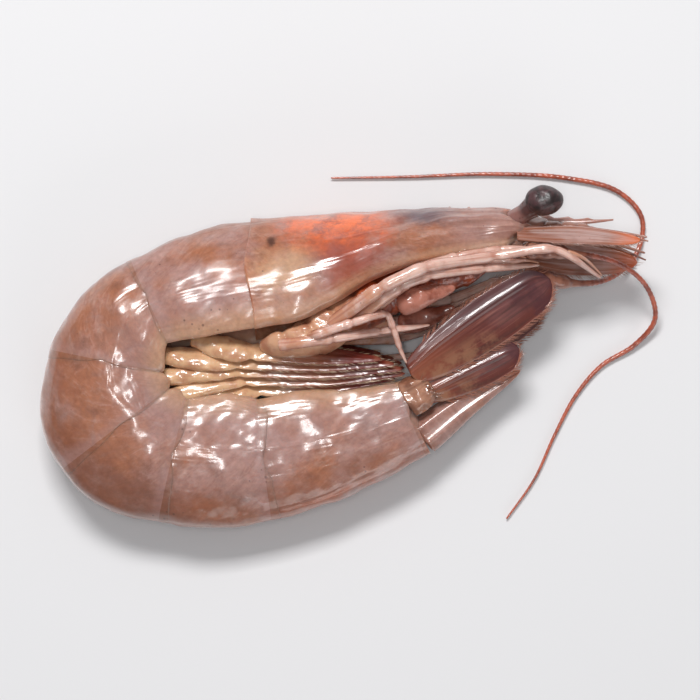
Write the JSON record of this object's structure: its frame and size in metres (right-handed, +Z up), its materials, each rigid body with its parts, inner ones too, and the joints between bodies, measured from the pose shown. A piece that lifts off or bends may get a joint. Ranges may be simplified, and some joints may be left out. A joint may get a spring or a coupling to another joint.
{
  "type": "raw tiger prawn",
  "caption": "Whole raw prawn with its head, legs and tail fan, curled up and lying on its side.",
  "frame": {"origin": "middle of the footprint, on the surface that the prawn lies on", "axes": "+X the way the head points, +Y the way the head shell's back faces, +Z up, away from the surface"},
  "size_m": [0.0916, 0.0532, 0.0191],
  "materials": {
    "head_shell": "wet translucent shell over orange and grey flesh",
    "shell": "wet translucent grey-pink shell over brown-pink flesh",
    "fan": "wet, dark purple-brown, with thin orange edges",
    "flesh": "wet dark orange-brown underside",
    "palp": "wet pinkish brown flesh",
    "stalk": "wet grey-brown shell",
    "eye": "wet black-brown, slightly wrinkled",
    "scale": "wet thin leaf with an orange tip",
    "feeler": "thin ringed red-orange thread",
    "leg": "wet pale pink, half clear",
    "swimmeret": "wet thin leaf, pale at the root and dark red towards the tip"
  },
  "bodies": {
    "root": {"carapace": "head_shell", "head": "stalk", "thorax": "flesh", "somite_1": "shell", "somite_2": "shell", "somite_3": "shell", "somite_4": "shell", "somite_5": "shell", "somite_6": "shell", "telson": "shell", "uropod_stalk_right": "shell", "uropod_stalk_left": "shell", "uropod_exopod_right": "fan", "uropod_exopod_left": "fan", "uropod_endopod_right": "fan", "uropod_endopod_left": "fan", "jaw_palp_right": "palp", "jaw_palp_left": "palp", "eyestalk_right": "stalk", "eyestalk_left": "stalk", "antennule_right": "stalk", "antennule_left": "stalk", "eye_right": "eye", "eye_left": "eye", "antennal_scale_right": "scale", "antennal_scale_left": "scale", "antenna_right": "feeler", "antenna_left": "feeler", "leg_1_right": "leg", "leg_1_left": "leg", "leg_2_right": "leg", "leg_2_left": "leg", "leg_3_right": "leg", "leg_3_left": "leg", "leg_4_right": "leg", "leg_4_left": "leg", "leg_5_right": "leg", "leg_5_left": "leg", "jaw_leg_right": "leg", "jaw_leg_left": "leg", "swimmeret_1_right": "swimmeret", "swimmeret_1_left": "swimmeret", "swimmeret_2_right": "swimmeret", "swimmeret_2_left": "swimmeret", "swimmeret_3_right": "swimmeret", "swimmeret_3_left": "swimmeret", "swimmeret_4_right": "swimmeret", "swimmeret_4_left": "swimmeret", "swimmeret_5_right": "swimmeret", "swimmeret_5_left": "swimmeret"}
  },
  "joints": []
}
